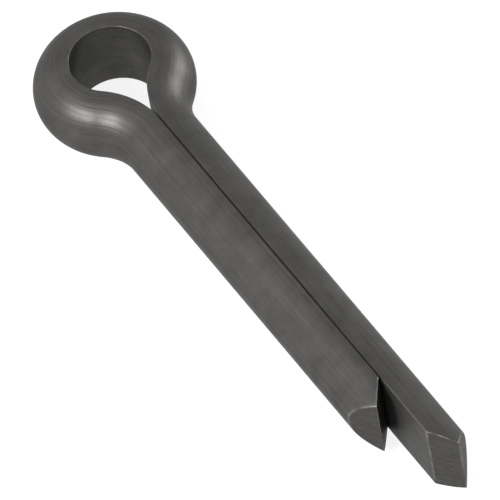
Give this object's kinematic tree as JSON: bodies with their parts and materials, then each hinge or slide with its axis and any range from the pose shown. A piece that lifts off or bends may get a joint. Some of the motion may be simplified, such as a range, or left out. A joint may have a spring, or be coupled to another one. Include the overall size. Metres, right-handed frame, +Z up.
{
  "type": "cotter pin",
  "caption": "Split cotter pin of half-round steel wire, folded into a round eye and a long and a short leg with chisel points; locks a bolt or clevis pin through a cross hole.",
  "frame": {"origin": "on the shank's axis at the shoulder, where the straight legs leave the reverse bends", "axes": "+X along the shank towards the tips, +Y from the short leg towards the long leg, +Z up, square to the eye; the pin lies on its side on a surface at its lowest point"},
  "size_m": [0.0321, 0.0074, 0.0036],
  "materials": {
    "steel": "dark satin drawn steel wire"
  },
  "bodies": {
    "root": {"cotter_pin": "steel"}
  },
  "joints": []
}
